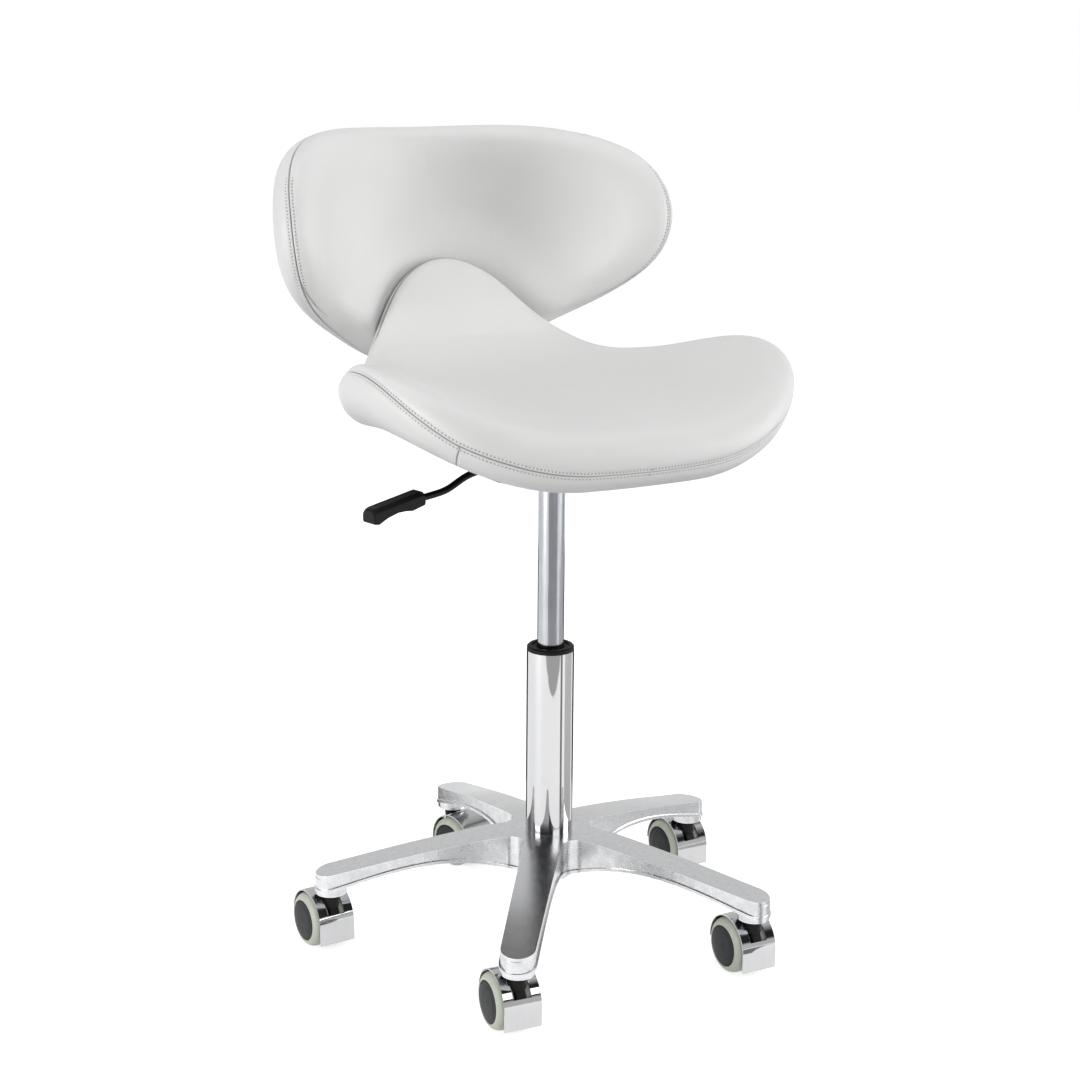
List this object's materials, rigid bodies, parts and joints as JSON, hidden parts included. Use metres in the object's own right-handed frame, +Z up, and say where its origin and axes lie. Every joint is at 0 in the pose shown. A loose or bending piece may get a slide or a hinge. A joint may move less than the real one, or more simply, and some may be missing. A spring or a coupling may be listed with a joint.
{
  "type": "rolling stylist stool",
  "caption": "Height-adjustable rolling stool with a dished seat, a rising rear tongue, a low wrap-round backrest, a gas lift and a star base on twin-wheel casters.",
  "frame": {"origin": "floor point under the column axis", "axes": "+Z up along the column, -Y towards the sitter's front, -X to the sitter's right hand"},
  "size_m": [0.4951, 0.5514, 0.8414],
  "materials": {
    "polished_aluminium": "polished die casting, satin side walls",
    "chrome_tube": "mirror chrome",
    "chrome_hood": "mirror chrome",
    "satin_steel": "satin ground",
    "plain_steel": "plain bright steel",
    "black_paint": "satin black powder coat",
    "black_rod": "black coated rod",
    "black_plastic": "fine-textured black moulding",
    "caster_nylon": "black nylon",
    "wheel_disc": "dark grey nylon, fine texture",
    "grey_tyre": "soft grey-green polyurethane",
    "black_rubber": "moulded rubber",
    "white_vinyl": "light grey-white upholstery vinyl, fine grain, soft sheen",
    "panel_vinyl": "light grey-white upholstery vinyl over a thin board",
    "black_fabric": "black non-woven cloth",
    "plywood": "bent beech plywood"
  },
  "bodies": {
    "base": {"base_star": "polished_aluminium", "outer_tube": "chrome_tube", "guide_bush": "black_plastic", "tube_floor": "plain_steel", "caster_stems": "plain_steel"},
    "gas_rod": {"piston_rod": "plain_steel", "piston_head": "plain_steel", "thrust_bearing": "plain_steel", "rubber_buffer": "black_rubber"},
    "seat": {"pressure_cylinder": "satin_steel", "cylinder_ends": "plain_steel", "seat_plate": "black_paint", "bolts": "plain_steel", "tee_nuts": "plain_steel", "seat_shell": "plywood", "seat_cushion": "white_vinyl", "seat_dust_cover": "black_fabric", "back_bar": "black_paint", "backrest_shell": "plywood", "backrest_cushion": "white_vinyl", "backrest_rear_panel": "panel_vinyl"},
    "lever": {"lever_rod": "black_rod", "lever_grip": "black_plastic"},
    "release_pin": {"release_pin": "plain_steel"},
    "caster_1": {"caster_1_hood": "chrome_hood", "caster_1_body": "caster_nylon", "caster_1_axle": "plain_steel"},
    "caster_1_wheel_a": {"caster_1_tyre_a": "grey_tyre", "caster_1_disc_a": "wheel_disc"},
    "caster_1_wheel_b": {"caster_1_tyre_b": "grey_tyre", "caster_1_disc_b": "wheel_disc"},
    "caster_2": {"caster_2_hood": "chrome_hood", "caster_2_body": "caster_nylon", "caster_2_axle": "plain_steel"},
    "caster_2_wheel_a": {"caster_2_tyre_a": "grey_tyre", "caster_2_disc_a": "wheel_disc"},
    "caster_2_wheel_b": {"caster_2_tyre_b": "grey_tyre", "caster_2_disc_b": "wheel_disc"},
    "caster_3": {"caster_3_hood": "chrome_hood", "caster_3_body": "caster_nylon", "caster_3_axle": "plain_steel"},
    "caster_3_wheel_a": {"caster_3_tyre_a": "grey_tyre", "caster_3_disc_a": "wheel_disc"},
    "caster_3_wheel_b": {"caster_3_tyre_b": "grey_tyre", "caster_3_disc_b": "wheel_disc"},
    "caster_4": {"caster_4_hood": "chrome_hood", "caster_4_body": "caster_nylon", "caster_4_axle": "plain_steel"},
    "caster_4_wheel_a": {"caster_4_tyre_a": "grey_tyre", "caster_4_disc_a": "wheel_disc"},
    "caster_4_wheel_b": {"caster_4_tyre_b": "grey_tyre", "caster_4_disc_b": "wheel_disc"},
    "caster_5": {"caster_5_hood": "chrome_hood", "caster_5_body": "caster_nylon", "caster_5_axle": "plain_steel"},
    "caster_5_wheel_a": {"caster_5_tyre_a": "grey_tyre", "caster_5_disc_a": "wheel_disc"},
    "caster_5_wheel_b": {"caster_5_tyre_b": "grey_tyre", "caster_5_disc_b": "wheel_disc"}
  },
  "joints": [
    {"name": "seat_swivel", "type": "hinge", "parent": "base", "child": "gas_rod", "pos_m": [0, 0, 0.08], "axis": [0, 0, 1], "continuous": true},
    {"name": "seat_lift", "type": "slide", "parent": "gas_rod", "child": "seat", "axis": [0, 0, 1], "range_m": [-0.14, 0]},
    {"name": "lever_pivot", "type": "hinge", "parent": "seat", "child": "lever", "pos_m": [-0.03105, -0.00774, 0.5315], "axis": [-0.2419, 0.9703, 0], "range_deg": [0, 6], "stiffness_Nm_per_rad": 1.5, "springref_deg": -14.32},
    {"name": "pin_travel", "type": "slide", "parent": "seat", "child": "release_pin", "axis": [0, 0, 1], "range_m": [-0.0045, 0]},
    {"name": "caster_1_swivel", "type": "hinge", "parent": "base", "child": "caster_1", "pos_m": [-0.13695, -0.1885, 0.06], "axis": [0, 0, 1], "continuous": true},
    {"name": "caster_1_wheel_a_spin", "type": "hinge", "parent": "caster_1", "child": "caster_1_wheel_a", "pos_m": [-0.13563, -0.16955, 0.029], "axis": [-0.9976, 0.0698, 0], "continuous": true},
    {"name": "caster_1_wheel_b_spin", "type": "hinge", "parent": "caster_1", "child": "caster_1_wheel_b", "pos_m": [-0.13563, -0.16955, 0.029], "axis": [-0.9976, 0.0698, 0], "continuous": true},
    {"name": "caster_2_swivel", "type": "hinge", "parent": "base", "child": "caster_2", "pos_m": [0.13695, -0.1885, 0.06], "axis": [0, 0, 1], "continuous": true},
    {"name": "caster_2_wheel_a_spin", "type": "hinge", "parent": "caster_2", "child": "caster_2_wheel_a", "pos_m": [0.13729, -0.1695, 0.029], "axis": [-0.9998, 0.0175, 0], "continuous": true},
    {"name": "caster_2_wheel_b_spin", "type": "hinge", "parent": "caster_2", "child": "caster_2_wheel_b", "pos_m": [0.13729, -0.1695, 0.029], "axis": [-0.9998, 0.0175, 0], "continuous": true},
    {"name": "caster_3_swivel", "type": "hinge", "parent": "base", "child": "caster_3", "pos_m": [0.2216, 0.072, 0.06], "axis": [0, 0, 1], "continuous": true},
    {"name": "caster_3_wheel_a_spin", "type": "hinge", "parent": "caster_3", "child": "caster_3_wheel_a", "pos_m": [0.2206, 0.09098, 0.029], "axis": [-0.9986, -0.0523, 0], "continuous": true},
    {"name": "caster_3_wheel_b_spin", "type": "hinge", "parent": "caster_3", "child": "caster_3_wheel_b", "pos_m": [0.2206, 0.09098, 0.029], "axis": [-0.9986, -0.0523, 0], "continuous": true},
    {"name": "caster_4_swivel", "type": "hinge", "parent": "base", "child": "caster_4", "pos_m": [0, 0.233, 0.06], "axis": [0, 0, 1], "continuous": true},
    {"name": "caster_4_wheel_a_spin", "type": "hinge", "parent": "caster_4", "child": "caster_4_wheel_a", "pos_m": [0.00492, 0.21465, 0.029], "axis": [0.9659, 0.2588, 0], "continuous": true},
    {"name": "caster_4_wheel_b_spin", "type": "hinge", "parent": "caster_4", "child": "caster_4_wheel_b", "pos_m": [0.00492, 0.21465, 0.029], "axis": [0.9659, 0.2588, 0], "continuous": true},
    {"name": "caster_5_swivel", "type": "hinge", "parent": "base", "child": "caster_5", "pos_m": [-0.2216, 0.072, 0.06], "axis": [0, 0, 1], "continuous": true},
    {"name": "caster_5_wheel_a_spin", "type": "hinge", "parent": "caster_5", "child": "caster_5_wheel_a", "pos_m": [-0.22292, 0.09095, 0.029], "axis": [-0.9976, -0.0698, 0], "continuous": true},
    {"name": "caster_5_wheel_b_spin", "type": "hinge", "parent": "caster_5", "child": "caster_5_wheel_b", "pos_m": [-0.22292, 0.09095, 0.029], "axis": [-0.9976, -0.0698, 0], "continuous": true}
  ],
  "couplings": [
    {"joint": "pin_travel", "follows": "lever_pivot", "m_per_rad": -0.034}
  ]
}
